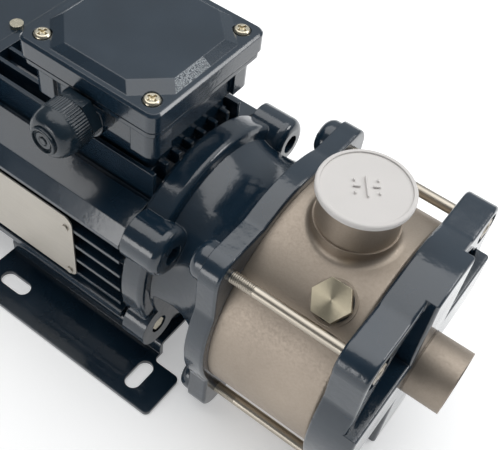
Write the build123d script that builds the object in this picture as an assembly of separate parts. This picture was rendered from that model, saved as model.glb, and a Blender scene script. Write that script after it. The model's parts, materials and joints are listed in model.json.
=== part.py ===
from build123d import *
import math
import os

# A horizontal multistage centrifugal pump with a close-coupled motor.
# The origin is on the floor, midway between the two front foot slots. +X points along the shaft towards the
# suction nipple and +Z points up. Every piece but the base plate and its bolts is drawn about the shaft axis.

# Stations along the shaft.
shaft_height = 64.0
motor_face = -18.0  # joint between the motor housing and the lantern bracket
housing_length = 112.0
lantern_length = 58.5
barrel_length = 58.0
flange_face = motor_face + lantern_length
barrel_end = flange_face + barrel_length
housing_rear = motor_face - housing_length

# Folded base plate.
sheet = 2.5
foot_half_width = 80.2
deck_half_width = 48.0
deck_height = 12.0
deck_front = 0.5
ear_front = 18.5
ear_inner_half_width = 53.0
plate_rear = -111.0
bend_radius = 1.5
plate_corner = 3.0
slot_width = 9.0
slot_pitch = 129.4
front_slot_length = 18.5
rear_slot_length = 20.0
rear_slot_distance = 92.3
foot_bolt_radius = 2.5
foot_bolt_half_pitch = 22.0
foot_bolt_inset = 20.0
foot_bolt_depth = 7.0
foot_head_radius = 4.4
foot_head_height = 3.5
bolt_clearance = 0.3

# Motor housing, an extrusion with cooling fins.
housing_bore = 48.0
housing_wall = 4.0
housing_half = 58.0
fin_thickness = 2.2
top_fin_pitch = 9.2
top_fin_count = 8
top_fin_height = 57.5
side_fin_pitch = 11.6
side_fin_top = 28.0
side_fin_count = 6
pad_half_width = 30.0
lobe_inset = 10.5
lobe_z = 33.0
shoulder_slope = ((-16.0, -6.0), (-11.0, 9.0), (5.0, 5.0))  # corners of the shoulder about the bolt hole
shoulder_low = 9.0
lobe_bolt_radius = 2.5
lobe_bolt_depth = 12.0
lobe_head_radius = 4.2
lobe_head_height = 4.5
spigot_length = 4.0
spigot_wall = 3.0
spigot_clearance = 0.1

# Stator and rotor.
stator_length = 56.0
air_gap = 0.5
rotor_radius = 27.3
slot_count = 18
slot_depth = 11.0
slot_opening = 3.6
winding_clearance = 0.3
winding_overhang = 16.0
end_ring_length = 8.0
end_ring_radius = 25.0
rotor_seat_radius = 10.0

# Bearings, 15 x 35 x 11.
bearing_bore_radius = 7.5
bearing_outer_radius = 17.5
bearing_width = 11.0
inner_race_radius = 10.6
race_gap = 0.3
preload_thickness = 0.8
hub_wall = 6.0
hub_lip = 3.0

# Motor end shield, fan and cowl.
shield_thickness = 6.0
shield_corner = 24.0
cowl_length = 49.0
cowl_wall = 2.0
grille_thickness = 3.0
cowl_round = 6.0
cowl_seat = 6.0
cowl_clearance = 0.2
cowl_screw_radius = 2.0
cowl_screw_head_radius = 3.6
cowl_screw_head = 2.0
cowl_screw_length = 7.0
grille_rings = 4
grille_slot = 4.0
grille_pitch = 9.0
grille_inner = 12.0
grille_arc = 66.0
fan_radius = 46.0
fan_hub_radius = 12.0
fan_width = 22.0
fan_blades = 7
fan_blade_thickness = 2.0
fan_gap = 6.0
fan_seat_radius = 6.0

# Terminal box.
box_centre = -52.2
box_half = 36.0
box_lip_half = 39.2
lid_overhang = 4.0
box_floor = 70.0
box_height = 20.0
box_lip_height = 2.5
box_corner = 5.0
box_wall = 4.0
box_floor_thickness = 2.5
box_panel_depth = 2.2
box_post = 13.0
box_inner_cut = 14.0
pedestal_half = 29.0
pedestal_seat = 54.0
cable_window_radius = 11.0
gasket_thickness = 1.4
gasket_inset = 1.6
lid_height = 10.1
lid_roof = 3.0
panel_inset = 3.5
panel_cut = 14.5
panel_bevel = 4.5
panel_height = 3.2
lid_screw_inset = 8.5
lid_screw_radius = 2.0
lid_screw_depth = 10.0
lid_screw_head_radius = 4.0
lid_screw_head_height = 2.4
lid_screw_recess = 1.2
recess_clearance = 0.5
block_length = 44.0
block_width = 24.0
block_height = 8.0
stud_radius = 2.0
stud_height = 8.0
stud_pitch = 14.0
stud_row_pitch = 12.0
stud_nut_radius = 3.6
stud_nut_height = 2.6

# Cable gland, blanked.
gland_rise = 11.4
gland_boss_radius = 12.5
gland_boss_length = 6.0
gland_thread_radius = 7.5
gland_thread_length = 8.0
gland_flat = 11.0
gland_hex_length = 5.5
gland_neck_length = 10.0
gland_nut_radius = 12.3
gland_nut_length = 17.0
gland_nut_taper = 2.6
gland_bore_radius = 5.2
gland_mouth_radius = 7.0
gland_plug_proud = 1.6

# Nameplate.
nameplate_front = -47.5
nameplate_length = 75.0
nameplate_low = -21.5
nameplate_high = 25.0
nameplate_thickness = 0.8
nameplate_corner = 5.0
rivet_radius = 0.9
rivet_head_radius = 1.9
rivet_head_height = 0.8
rivet_length = 5.0
rivet_inset = 4.5

# Lantern bracket.
register_radius = 56.0
register_length = 3.0
ring_radius = 60.0
ring_length = 12.5
ring_step = 7.0
ear_radius = 13.0
ear_length = 24.5
ear_round = 5.0
ear_bolt_grip = 12.0
low_ear_step = 1.5
ear_bolt_clearance = 1.0
neck_radius = 51.0
neck_station = 12.0
throat_wall = 11.0
lantern_wall = 5.0
rear_wall = 6.0
flange_margin = 5.0
flange_thickness = 10.5
floor_gap = 1.0
window_length = 27.0
window_top = -2.0
window_arm_half = 24.0
lobe_radius = 11.6
lobe_blend = 7.0
lobe_depth = 19.0
boss_round = 5.0
rod_ledge = 2.8
edge_round = 1.6

# Tie rods.
rod_thread_radius = 3.0
rod_shank_radius = 2.7
rod_visible_thread = 12.0
rod_anchor = 14.0
rod_end_thread = 10.0
rod_proud = 0.5
rod_nut_flat = 5.0
rod_nut_height = 5.0
rod_washer_radius = 6.4
rod_washer_thickness = 1.2

# Wet end shell.
barrel_radius = 62.0
barrel_wall = 1.5
seal_plate_thickness = 3.0
pilot_length = 7.0
pilot_wall = 4.0
o_ring_width = 2.6
o_ring_depth = 2.0
port_station = 29.1
port_height = 23.3
port_radius = 19.1
port_thread_radius = 15.15
port_mouth_radius = 16.3
port_mouth_depth = 7.5
collar_wall = 0.9
collar_height = 5.0
collar_round = 4.0
nipple_radius = 16.85
nipple_bore = 14.0
nipple_length = 41.9
nipple_relief = 0.4
nipple_shoulder = 0.5
cap_radius = 22.0
cap_thickness = 2.5
cap_spigot = 6.5
cap_spigot_wall = 1.5
cap_clearance = 0.4
cap_rim = 2.0
cap_rim_depth = 0.7

# Vent and drain plugs.
vent_station = 41.6
vent_angle = 33.0
drain_angle = -119.0
vent_boss_radius = 10.6
vent_boss_height = 0.6
vent_washer_radius = 9.0
vent_washer_thickness = 1.2
plug_flat = 8.5
plug_head_height = 5.6
plug_shank_radius = 5.0
plug_shank_length = 7.5
plug_clearance = 0.3
plug_chamfer = 0.7

# Front cover casting.
cover_thickness = 16.5
cover_web = 6.0
cover_rim = 7.0
cover_boss_radius = 23.0
cover_block_length = 22.0
cover_block_half = 17.0
cover_nipple_gap = 0.4
nut_seat = 10.2
nut_seat_radius = 8.2

# Hydraulics: two stages.
stage_count = 2
stage_pitch = 20.0
stage_start = 13.5
bowl_gap = 10.0
bowl_wall = 1.5
bowl_hub_gap = 0.6
vane_count = 6
vane_thickness = 1.4
guide_sweep = -50.0
impeller_sweep = 55.0
guide_height = 4.3
guide_plate = 1.2
guide_plate_gap = 6.0
impeller_rim_gap = 8.0
impeller_gap = 1.2
shroud = 1.4
vane_width = 4.6
eye_radius = 16.0
hub_radius = 9.5
pump_shaft_radius = 6.0
shaft_nut_flat = 6.5
shaft_nut_height = 5.0
cover_plate_gap = 0.6

# Mechanical seal.
seat_radius = 13.0
seat_length = 6.0
seat_bore = 7.0
head_radius = 11.0


touch = 0.01  # how near two measures count as the same


def disc(radius, start, end):
    return extrude(Plane.YZ.offset(start) * Circle(radius), amount=end - start)


def ring(outer, inner, start, end):
    return disc(outer, start, end) - disc(inner, start, end)


def prism(sketch, start, end):
    return extrude(Plane.YZ.offset(start) * sketch, amount=end - start)


def turned(*outline):
    return revolve(make_face(Polyline(*outline, close=True)), Axis.X)


def column(sketch, low, high):
    return extrude(Plane.XY.offset(low) * sketch, amount=high - low)


def four(y, z):
    return [(side * y, level * z) for side in (-1, 1) for level in (-1, 1)]


def bolt_group(places, shank, head, height, start, depth, direction):
    """Hexagon-head bolts along X: the head sits on the face at start, the shank runs the other way."""
    group = Part()
    for y, z in places:
        under = Plane(origin=(start, y, z), x_dir=(0, 1, 0), z_dir=(direction, 0, 0))
        group += extrude(under * RegularPolygon(head, 6), amount=height)
        group += extrude(under * Circle(shank), amount=-depth)
    return group


def bolt_holes(places, radius, start, end):
    holes = Part()
    for y, z in places:
        holes += Pos(0, y, z) * disc(radius, start, end)
    return holes


# Base plate and what holds the motor to it, drawn from the floor.
def foot_bolt_places():
    stations = (motor_face - foot_bolt_inset, housing_rear + foot_bolt_inset)
    return [(x, side * foot_bolt_half_pitch) for x in stations for side in (-1, 1)]


def base_plate():
    inner_width = deck_half_width - sheet
    top = (Align.CENTER, Align.MAX)
    outside = RectangleRounded(2 * deck_half_width, foot_half_width, bend_radius + sheet, align=top)
    inside = RectangleRounded(2 * inner_width, foot_half_width, bend_radius, align=top)
    above_floor = Rectangle(2 * foot_half_width, deck_height, align=(Align.CENTER, Align.MIN))
    section = (Pos(0, deck_height) * outside - Pos(0, deck_height - sheet) * inside) & above_floor
    flange = Rectangle(foot_half_width - inner_width, sheet, align=(Align.MIN, Align.MIN))
    section += Pos(inner_width, 0) * flange + Pos(-foot_half_width, 0) * flange
    plate = prism(section, plate_rear, deck_front)
    ear_width = foot_half_width - ear_inner_half_width
    for side in (-1, 1):
        middle = side * (ear_inner_half_width + ear_width / 2)
        ear = Box(ear_front - plate_rear, ear_width, sheet, align=(Align.MIN, Align.CENTER, Align.MIN))
        plate += Pos(plate_rear, middle, 0) * ear
    corners = plate.edges().filter_by(Axis.Z).filter_by(lambda e: abs(e.center().Y) > ear_inner_half_width - 1)
    plate = fillet(corners, plate_corner)
    cuts = Part()
    for side in (-1, 1):
        front = Pos(0, side * slot_pitch / 2) * SlotOverall(front_slot_length, slot_width, rotation=90)
        rear = Pos(-rear_slot_distance, side * slot_pitch / 2) * SlotOverall(rear_slot_length, slot_width)
        cuts += column(front + rear, -1, deck_height)
    for x, y in foot_bolt_places():
        cuts += column(Pos(x, y) * Circle(foot_bolt_radius + bolt_clearance), 0, deck_height + 1)
    return plate - cuts


def foot_bolts():
    head_top = deck_height - sheet
    group = Part()
    for x, y in foot_bolt_places():
        group += column(Pos(x, y) * RegularPolygon(foot_head_radius, 6), head_top - foot_head_height, head_top)
        group += column(Pos(x, y) * Circle(foot_bolt_radius), head_top, deck_height + foot_bolt_depth)
    return group


# Motor, drawn about the shaft axis.
housing_radius = housing_bore + housing_wall
deck_level = deck_height - shaft_height
lobe_y = housing_half - lobe_inset
lobe_places = four(lobe_y, lobe_z)


def corner_lobe():
    """Upper right corner of the extrusion, a sloped shoulder round the bolt hole."""
    corners = [(lobe_y + dy, lobe_z + dz) for dy, dz in shoulder_slope]
    corners += [
        (housing_half, side_fin_top + fin_thickness / 2),
        (housing_half, side_fin_top - fin_thickness / 2),
        (lobe_y, lobe_z - shoulder_low),
    ]
    return make_face(Polyline(*corners, close=True))


def housing_section():
    section = Sketch() + Circle(housing_radius)
    for i in range(top_fin_count):
        y = (i - (top_fin_count - 1) / 2) * top_fin_pitch
        section += Pos(y, top_fin_height) * Rectangle(
            fin_thickness, top_fin_height - housing_bore / 2, align=(Align.CENTER, Align.MAX)
        )
    for i in range(side_fin_count):
        z = side_fin_top - i * side_fin_pitch
        section += Pos(0, z) * Rectangle(2 * housing_half, fin_thickness)
    pad = Rectangle(2 * pad_half_width, -deck_level, align=(Align.CENTER, Align.MIN))
    section += Pos(0, deck_level) * pad
    lobe = corner_lobe()
    for mirrored in (lobe, mirror(lobe, Plane.YZ), mirror(lobe, Plane.XZ), Rot(0, 0, 180) * lobe):
        section += mirrored
    return section - Circle(housing_bore)


def rivet_places():
    rows = [side_fin_top - i * side_fin_pitch for i in (1, 4)]
    ends = (nameplate_front - rivet_inset, nameplate_front - nameplate_length + rivet_inset)
    return [(x, z) for x in ends for z in rows]


def motor_housing():
    body = prism(housing_section(), housing_rear, motor_face)
    seat = Pos(box_centre, 0) * Rectangle(2 * pedestal_half, 2 * pedestal_half)
    body += column(seat, housing_bore / 2, pedestal_seat) - disc(housing_bore, housing_rear, motor_face)
    body -= column(offset(seat, cover_nipple_gap), pedestal_seat, top_fin_height + 1)
    body -= column(Pos(box_centre, 0) * Circle(cable_window_radius), 0, pedestal_seat + 1)
    body -= bolt_holes(lobe_places, lobe_bolt_radius, motor_face - lobe_bolt_depth, motor_face)
    body -= bolt_holes(lobe_places, lobe_bolt_radius, housing_rear, housing_rear + lobe_bolt_depth)
    for x, y in foot_bolt_places():
        body -= column(Pos(x, y) * Circle(foot_bolt_radius), deck_level, deck_level + foot_bolt_depth)
    for x, z in rivet_places():
        drill = Plane(origin=(x, -housing_half, z), x_dir=(1, 0, 0), z_dir=(0, 1, 0))
        body -= extrude(drill * Circle(rivet_radius), amount=rivet_length)
    return body


stator_middle = (housing_rear + motor_face) / 2
stator_front = stator_middle + stator_length / 2
stator_rear = stator_middle - stator_length / 2
stator_bore = rotor_radius + air_gap


def slot_pattern(width, depth, gap):
    bar = Pos(stator_bore + 2 + gap + depth / 2, 0) * Rectangle(depth, width)
    return Sketch() + [loc * bar for loc in PolarLocations(0, slot_count)]


def stator_core():
    core = ring(housing_bore, stator_bore, stator_rear, stator_front)
    return core - prism(slot_pattern(slot_opening, slot_depth, 0), stator_rear, stator_front)


def stator_windings():
    inner = stator_bore + 2 + winding_clearance
    outer = inner + slot_depth - 2 * winding_clearance
    rear = stator_rear - winding_overhang
    front = stator_front + winding_overhang
    bars = prism(slot_pattern(slot_opening - 2 * winding_clearance, slot_depth - 2 * winding_clearance,
                              winding_clearance), rear, front)
    heads = ring(outer, inner, rear, stator_rear - 2) + ring(outer, inner, stator_front + 2, front)
    return bars + heads


def bearing_outer(start):
    races = ring(bearing_outer_radius, inner_race_radius + race_gap, start, start + bearing_width)
    return races


def bearing_inner(start):
    return ring(inner_race_radius, bearing_bore_radius, start, start + bearing_width)


rear_bearing = housing_rear - bearing_width
front_bearing = motor_face


def motor_end_shield():
    plate_end = housing_rear - shield_thickness
    seat_end = plate_end - cowl_seat
    hub_end = rear_bearing - preload_thickness - hub_lip
    inner_half = housing_half - cowl_wall - cowl_clearance
    shield = prism(RectangleRounded(2 * housing_half, 2 * housing_half, shield_corner), plate_end, housing_rear)
    corner = shield_corner - cowl_wall - cowl_clearance
    shield += prism(RectangleRounded(2 * inner_half, 2 * inner_half, corner), seat_end, plate_end)
    shield += disc(bearing_outer_radius + hub_wall, hub_end, housing_rear)
    spigot = housing_bore - spigot_clearance
    shield += ring(spigot, spigot - spigot_wall, housing_rear, housing_rear + spigot_length)
    shield -= ring(housing_bore - hub_wall, bearing_outer_radius + hub_wall, seat_end, seat_end + hub_lip)
    shield -= disc(bearing_outer_radius, rear_bearing - preload_thickness, housing_rear)
    shield -= disc(bearing_bore_radius + 1, hub_end, housing_rear)
    shield -= bolt_holes(lobe_places, lobe_bolt_radius + bolt_clearance, seat_end, housing_rear)
    for place in cowl_screw_planes():
        shield -= extrude(place * Circle(cowl_screw_radius), amount=-cowl_screw_length)
    return shield


def shield_bolts():
    head_face = housing_rear - shield_thickness - cowl_seat
    depth = shield_thickness + cowl_seat + lobe_bolt_depth
    return bolt_group(lobe_places, lobe_bolt_radius, lobe_head_radius, lobe_head_height, head_face, depth, -1)


def preload_washer():
    inner = bearing_outer_radius - 4
    return ring(bearing_outer_radius, inner, rear_bearing - preload_thickness, rear_bearing)


cowl_front = housing_rear - shield_thickness
cowl_rear = cowl_front - cowl_length


def cowl_screw_planes():
    """One plane on each of the four flats of the cowl, normal pointing out."""
    x = cowl_front - cowl_seat / 2
    planes = []
    for i in range(4):
        angle = math.radians(90 * i)
        normal = (0, math.cos(angle), math.sin(angle))
        origin = (x, housing_half * normal[1], housing_half * normal[2])
        planes.append(Plane(origin=origin, x_dir=(1, 0, 0), z_dir=normal))
    return planes


def fan_cover():
    size = 2 * housing_half
    shell = prism(RectangleRounded(size, size, shield_corner), cowl_rear, cowl_front)
    shell = fillet(shell.faces().sort_by(Axis.X)[0].edges(), cowl_round)
    inner = size - 2 * cowl_wall
    shell -= prism(RectangleRounded(inner, inner, shield_corner - cowl_wall), cowl_rear + grille_thickness, cowl_front)
    slots = Sketch()
    for i in range(grille_rings):
        radius = grille_inner + i * grille_pitch
        arc = CenterArc((0, 0), radius, -grille_arc / 2, grille_arc)
        slots += [loc * SlotArc(arc, grille_slot) for loc in PolarLocations(0, 4, start_angle=45 * (i % 2))]
    shell -= prism(slots, cowl_rear - 1, cowl_rear + grille_thickness + 1)
    for place in cowl_screw_planes():
        shell -= extrude(place * Circle(cowl_screw_radius + bolt_clearance), amount=-cowl_wall)
    return shell


def fan_cover_screws():
    group = Part()
    for place in cowl_screw_planes():
        group += extrude(place * Circle(cowl_screw_head_radius), amount=cowl_screw_head)
        group += extrude(place * Circle(cowl_screw_radius), amount=-cowl_screw_length)
    return group


# Terminal box on the housing.
box_top = box_floor + box_height
gland_height = box_floor + gland_rise
lid_bottom = box_top + gasket_thickness
lid_half = box_half + lid_overhang
lid_top = lid_bottom + lid_height
lid_screw_offset = lid_half - lid_screw_inset
lid_screw_places = [(box_centre + a * lid_screw_offset, b * lid_screw_offset) for a in (-1, 1) for b in (-1, 1)]


def octagon(half, cut):
    """Square with its corners cut off at 45 degrees."""
    rim = half - cut
    points = [(half, rim), (rim, half), (-rim, half), (-half, rim)]
    points += [(-x, -y) for x, y in points]
    return Pos(box_centre, 0) * make_face(Polyline(*points, close=True))


def box_square(half):
    return Pos(box_centre, 0) * RectangleRounded(2 * half, 2 * half, box_corner)


def screw_holes(radius, low, high):
    holes = Part()
    for x, y in lid_screw_places:
        holes += column(Pos(x, y) * Circle(radius), low, high)
    return holes


def gland_plane(y):
    return Plane(origin=(box_centre, y, gland_height), x_dir=(1, 0, 0), z_dir=(0, -1, 0))


def terminal_box_body():
    body = column(box_square(box_half), box_floor, box_top - box_lip_height)
    panel = 2 * (box_half - box_post)
    for angle in range(0, 360, 90):
        recess = Rot(0, 0, angle) * Pos(box_half, 0) * Rectangle(2 * box_panel_depth, panel)
        body -= column(Pos(box_centre, 0) * recess, box_floor, box_top - box_lip_height - 1)
    body += column(box_square(box_lip_half), box_top - box_lip_height, box_top)
    foot = Pos(box_centre, 0) * RectangleRounded(2 * pedestal_half, 2 * pedestal_half, box_corner)
    body += column(foot, pedestal_seat, box_floor)
    boss = extrude(gland_plane(-box_half + box_wall) * Circle(gland_boss_radius), amount=box_wall + gland_boss_length)
    body += boss & column(box_square(2 * lid_half), box_floor, box_top - box_lip_height)
    body -= column(octagon(box_half - box_wall, box_inner_cut), box_floor + box_floor_thickness, box_top)
    body -= column(Pos(box_centre, 0) * Circle(cable_window_radius), pedestal_seat, box_top)
    body -= extrude(gland_plane(-box_half / 2) * Circle(gland_thread_radius), amount=box_half)
    body -= screw_holes(lid_screw_radius, box_top - lid_screw_depth, box_top)
    return body


def lid_gasket():
    gasket = column(box_square(lid_half - gasket_inset), box_top, lid_bottom)
    gasket -= column(octagon(box_half - box_wall, box_inner_cut), box_top, lid_bottom)
    return gasket - screw_holes(lid_screw_radius + bolt_clearance, box_top, lid_bottom)


def terminal_box_lid():
    lid = column(box_square(lid_half), lid_bottom, lid_top)
    lid = chamfer(lid.faces().sort_by(Axis.Z)[-1].edges(), 1.2)
    low = octagon(lid_half - panel_inset, panel_cut)
    high = octagon(lid_half - panel_inset - panel_bevel, panel_cut)
    lid += loft([Plane.XY.offset(lid_top) * low, Plane.XY.offset(lid_top + panel_height) * high])
    lid -= column(octagon(box_half - box_wall, box_inner_cut), lid_bottom, lid_top - lid_roof)
    lid -= screw_holes(lid_screw_radius + bolt_clearance, lid_bottom, lid_top)
    recess = lid_screw_head_radius + recess_clearance
    return lid - screw_holes(recess, lid_top - lid_screw_recess, lid_top + panel_height)


def lid_screws():
    seat = lid_top - lid_screw_recess
    heads = screw_holes(lid_screw_head_radius, seat, seat + lid_screw_head_height)
    tops = heads.faces().filter_by(Axis.Z).group_by(Axis.Z)[-1]
    heads = fillet(tops.edges(), lid_screw_head_height / 3)
    return heads + screw_holes(lid_screw_radius, box_top - lid_screw_depth, seat)


def stud_places():
    return [(box_centre + i * stud_pitch, side * stud_row_pitch / 2) for i in (-1, 0, 1) for side in (-1, 1)]


block_low = box_floor + box_floor_thickness


def terminal_block():
    base = Pos(box_centre, 0) * RectangleRounded(block_length, block_width, 2)
    block = column(base, block_low, block_low + block_height)
    for x, y in stud_places():
        block -= column(Pos(x, y) * Circle(stud_radius), block_low + 2, block_low + block_height)
    return block


def terminal_studs():
    top = block_low + block_height
    group = Part()
    for x, y in stud_places():
        group += column(Pos(x, y) * Circle(stud_radius), block_low + 2, top + stud_height)
        group += column(Pos(x, y) * RegularPolygon(stud_nut_radius, 6), top, top + stud_nut_height)
    return group


gland_face = -box_half - gland_boss_length
gland_nut_start = gland_face - gland_hex_length
gland_end = gland_nut_start - gland_nut_length


def gland_body():
    body = extrude(gland_plane(gland_face) * RegularPolygon(gland_flat, 6, major_radius=False),
                   amount=gland_hex_length)
    body += extrude(gland_plane(gland_face + gland_thread_length) * Circle(gland_thread_radius),
                    amount=gland_thread_length)
    body += extrude(gland_plane(gland_nut_start) * Circle(gland_thread_radius), amount=gland_neck_length)
    return body - extrude(gland_plane(0) * Circle(gland_bore_radius), amount=2 * box_half)


def gland_dome_nut():
    nut = extrude(gland_plane(gland_nut_start) * Circle(gland_nut_radius), amount=gland_nut_length)
    tip = nut.faces().sort_by(Axis.Y)[0]
    nut = fillet(tip.edges(), gland_nut_taper)
    nut -= extrude(gland_plane(gland_nut_start) * Circle(gland_thread_radius), amount=gland_neck_length)
    return nut - extrude(gland_plane(gland_nut_start) * Circle(gland_mouth_radius), amount=2 * gland_nut_length)


def gland_blank_plug():
    neck_end = gland_nut_start - gland_neck_length
    depth = gland_nut_length - gland_neck_length + gland_plug_proud
    plug = extrude(gland_plane(neck_end) * Circle(gland_mouth_radius), amount=depth)
    plug = fillet(plug.faces().sort_by(Axis.Y)[0].edges(), gland_plug_proud / 2)
    return plug + extrude(gland_plane(gland_nut_start) * Circle(gland_bore_radius), amount=gland_neck_length)


def nameplate():
    height = nameplate_high - nameplate_low
    centre_x = nameplate_front - nameplate_length / 2
    side = Plane(origin=(centre_x, -housing_half, nameplate_low + height / 2), x_dir=(1, 0, 0), z_dir=(0, -1, 0))
    plate = extrude(side * RectangleRounded(nameplate_length, height, nameplate_corner), amount=nameplate_thickness)
    for x, z in rivet_places():
        drill = Plane(origin=(x, -housing_half, z), x_dir=(1, 0, 0), z_dir=(0, -1, 0))
        plate -= extrude(drill * Circle(rivet_radius), amount=nameplate_thickness)
    return plate


def nameplate_rivets():
    group = Part()
    for x, z in rivet_places():
        face = Plane(origin=(x, -housing_half - nameplate_thickness, z), x_dir=(1, 0, 0), z_dir=(0, -1, 0))
        group += extrude(face * Circle(rivet_head_radius), amount=rivet_head_height)
        group += extrude(face * Circle(rivet_radius), amount=-rivet_length)
    return group


# Lantern bracket: motor end shield, lantern and pump flange in one casting.
flange_radius = barrel_radius + flange_margin
rod_circle = flange_radius + rod_ledge
rod_offset = rod_circle / math.sqrt(2)
rod_places = four(rod_offset, rod_offset)
ring_start = motor_face + register_length
ring_end = ring_start + ring_length
flange_back = flange_face - flange_thickness
lantern_bore = ring_radius - lantern_wall
throat_radius = ring_radius - throat_wall
ear_bolt_face = motor_face + ear_bolt_grip


def above_floor(sketch):
    flat = Rectangle(4 * flange_radius, flange_radius, align=(Align.CENTER, Align.MAX))
    return sketch - Pos(0, floor_gap - shaft_height) * flat


def flange_outline():
    """Round flange blended into a rounded square that carries the tie rods, flat at the floor."""
    side = 2 * (rod_offset + lobe_radius)
    outline = Circle(flange_radius) + RectangleRounded(side, side, lobe_radius)
    meetings = [v for v in outline.vertices() if abs(math.hypot(v.X, v.Y) - flange_radius) < touch]
    return above_floor(fillet(meetings, lobe_blend))


def lantern_profile():
    """Outer and inner curves of the lantern wall, from the ring to the flange."""
    throat = motor_face + rear_wall
    step = ring_radius - ring_step
    outer = ThreePointArc((ring_end, step), (neck_station, neck_radius), (flange_back, ring_radius))
    inner = ThreePointArc(
        (flange_back, lantern_bore), (neck_station, neck_radius - lantern_wall), (throat, throat_radius)
    )
    wall = [
        Polyline((flange_back, lantern_bore), (flange_back, ring_radius)),
        outer,
        Polyline((ring_end, step), (throat, step), (throat, throat_radius)),
        inner,
    ]
    return revolve(make_face(wall), Axis.X)


def lantern_windows():
    """Openings below the shaft on both sides, clear of the arm under it and the bosses behind the flange."""
    start = ring_end + low_ear_step
    below = (Align.MIN, Align.CENTER, Align.MAX)
    opening = Box(window_length, 4 * ring_radius, ring_radius, align=below)
    opening -= Box(window_length, 2 * window_arm_half, ring_radius, align=below)
    opening = Pos(start, 0, window_top) * opening
    return opening - bolt_holes(rod_places, lobe_radius, start, flange_back)


def front_edges(part):
    return part.faces().sort_by(Axis.X)[-1].edges()


def pump_bracket():
    body = prism(flange_outline(), flange_back, flange_face)
    body = fillet(front_edges(body), edge_round)
    for y, z in rod_places:
        boss = Pos(0, y, z) * disc(lobe_radius - edge_round, flange_face - lobe_depth, flange_back)
        body += fillet(boss.faces().sort_by(Axis.X)[0].edges(), boss_round)
    rim = disc(ring_radius, ring_start, ring_end)
    body += fillet(front_edges(rim), 2 * edge_round) + disc(register_radius, motor_face, ring_start)
    for y, z in lobe_places:
        if z > 0:
            ear = disc(ear_radius, ring_start, motor_face + ear_length)
            body += Pos(0, y, z) * fillet(front_edges(ear), ear_round)
        else:
            body += Pos(0, y, z) * disc(ear_radius, ring_start, ring_end + low_ear_step)
    body -= disc(throat_radius, motor_face + rear_wall, flange_back)
    body += lantern_profile()
    hub_front = front_bearing + bearing_width + hub_lip
    body += disc(bearing_outer_radius + hub_wall, motor_face, hub_front)
    spigot = housing_bore - spigot_clearance
    body += ring(spigot, spigot - spigot_wall, motor_face - spigot_length, motor_face)
    body -= disc(bearing_outer_radius, motor_face, front_bearing + bearing_width)
    body -= disc(bearing_bore_radius + 1, motor_face, hub_front)
    body -= disc(lantern_bore - 3, flange_back, flange_face)
    body -= disc(seal_plate_radius, flange_face - seal_plate_thickness, flange_face)
    body -= bolt_holes(rod_places, rod_thread_radius, flange_face - rod_anchor, flange_face)
    body -= bolt_holes(lobe_places, lobe_bolt_radius + bolt_clearance, motor_face, ear_bolt_face)
    body -= bolt_holes(lobe_places, lobe_head_radius + ear_bolt_clearance, ear_bolt_face, motor_face + ear_length)
    body -= lantern_windows()
    under = Box(deck_front + floor_gap - motor_face, 4 * ring_radius, ring_radius, align=(Align.MIN, Align.CENTER, Align.MAX))
    return body - Pos(motor_face, 0, deck_level) * under


def bracket_bolts():
    depth = ear_bolt_face - motor_face + lobe_bolt_depth
    return bolt_group(lobe_places, lobe_bolt_radius, lobe_head_radius, lobe_head_height, ear_bolt_face, depth, 1)


# Wet end.
barrel_bore = barrel_radius - barrel_wall
bowl_radius = barrel_radius - bowl_gap
impeller_radius = bowl_radius - impeller_rim_gap
nipple_root_radius = nipple_radius - nipple_relief
seal_plate_radius = barrel_radius
pilot_radius = barrel_bore - 0.4
pilot_end = flange_face + pilot_length


def o_ring_span():
    middle = flange_face + pilot_length / 2 + 0.5
    return middle - o_ring_width / 2, middle + o_ring_width / 2


def seal_plate():
    plate = disc(seal_plate_radius, flange_face - seal_plate_thickness, flange_face)
    plate += ring(pilot_radius, pilot_radius - pilot_wall, flange_face, pilot_end)
    plate += disc(seat_radius + 3, flange_face, flange_face + seat_length)
    plate -= disc(seat_radius, flange_face, flange_face + seat_length)
    plate -= disc(seat_bore, flange_face - seal_plate_thickness, flange_face)
    low, high = o_ring_span()
    return plate - ring(barrel_radius, barrel_bore - o_ring_depth, low, high)


def barrel_o_ring():
    low, high = o_ring_span()
    return ring(barrel_bore, barrel_bore - o_ring_depth, low, high)


def port_axis():
    return Pos(flange_face + port_station, 0, 0)


def radial_plane(angle, radius):
    """Plane square to a radius of the barrel. The angle is measured from straight up, towards -Y."""
    a = math.radians(angle)
    normal = (0, -math.sin(a), math.cos(a))
    origin = (flange_face + vent_station, radius * normal[1], radius * normal[2])
    return Plane(origin=origin, x_dir=(1, 0, 0), z_dir=normal)


def pump_barrel():
    drum = disc(barrel_radius, flange_face, barrel_end)
    drum = fillet(front_edges(drum), barrel_wall * 1.4)
    collar = port_axis() * column(Circle(port_radius + collar_wall), 0, barrel_radius + collar_height)
    shell = drum + collar
    foot = [e for e in shell.edges() if e.center().Z > 0 and e.geom_type not in (GeomType.LINE, GeomType.CIRCLE)]
    shell = fillet(foot, collar_round)
    for angle in (vent_angle, drain_angle):
        boss = radial_plane(angle, barrel_radius + vent_boss_height) * Circle(vent_boss_radius)
        shell += extrude(boss, amount=-4 * vent_boss_height)
    shell -= disc(barrel_bore, flange_face, barrel_end - barrel_wall)
    shell -= disc(nipple_root_radius, flange_face, barrel_end)
    shell -= port_axis() * column(Circle(port_radius), 0, 2 * barrel_radius)
    for angle in (vent_angle, drain_angle):
        hole = radial_plane(angle, barrel_radius + vent_boss_height) * Circle(plug_shank_radius + plug_clearance)
        shell -= extrude(hole, amount=-2 * plug_shank_length)
    return shell


port_top = barrel_radius + port_height


def discharge_socket():
    tube = column(Circle(port_radius) - Circle(port_thread_radius), barrel_radius / 2, port_top)
    tube -= column(Circle(port_mouth_radius), port_top - port_mouth_depth, port_top)
    return port_axis() * tube - disc(barrel_bore, flange_face, barrel_end)


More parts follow.
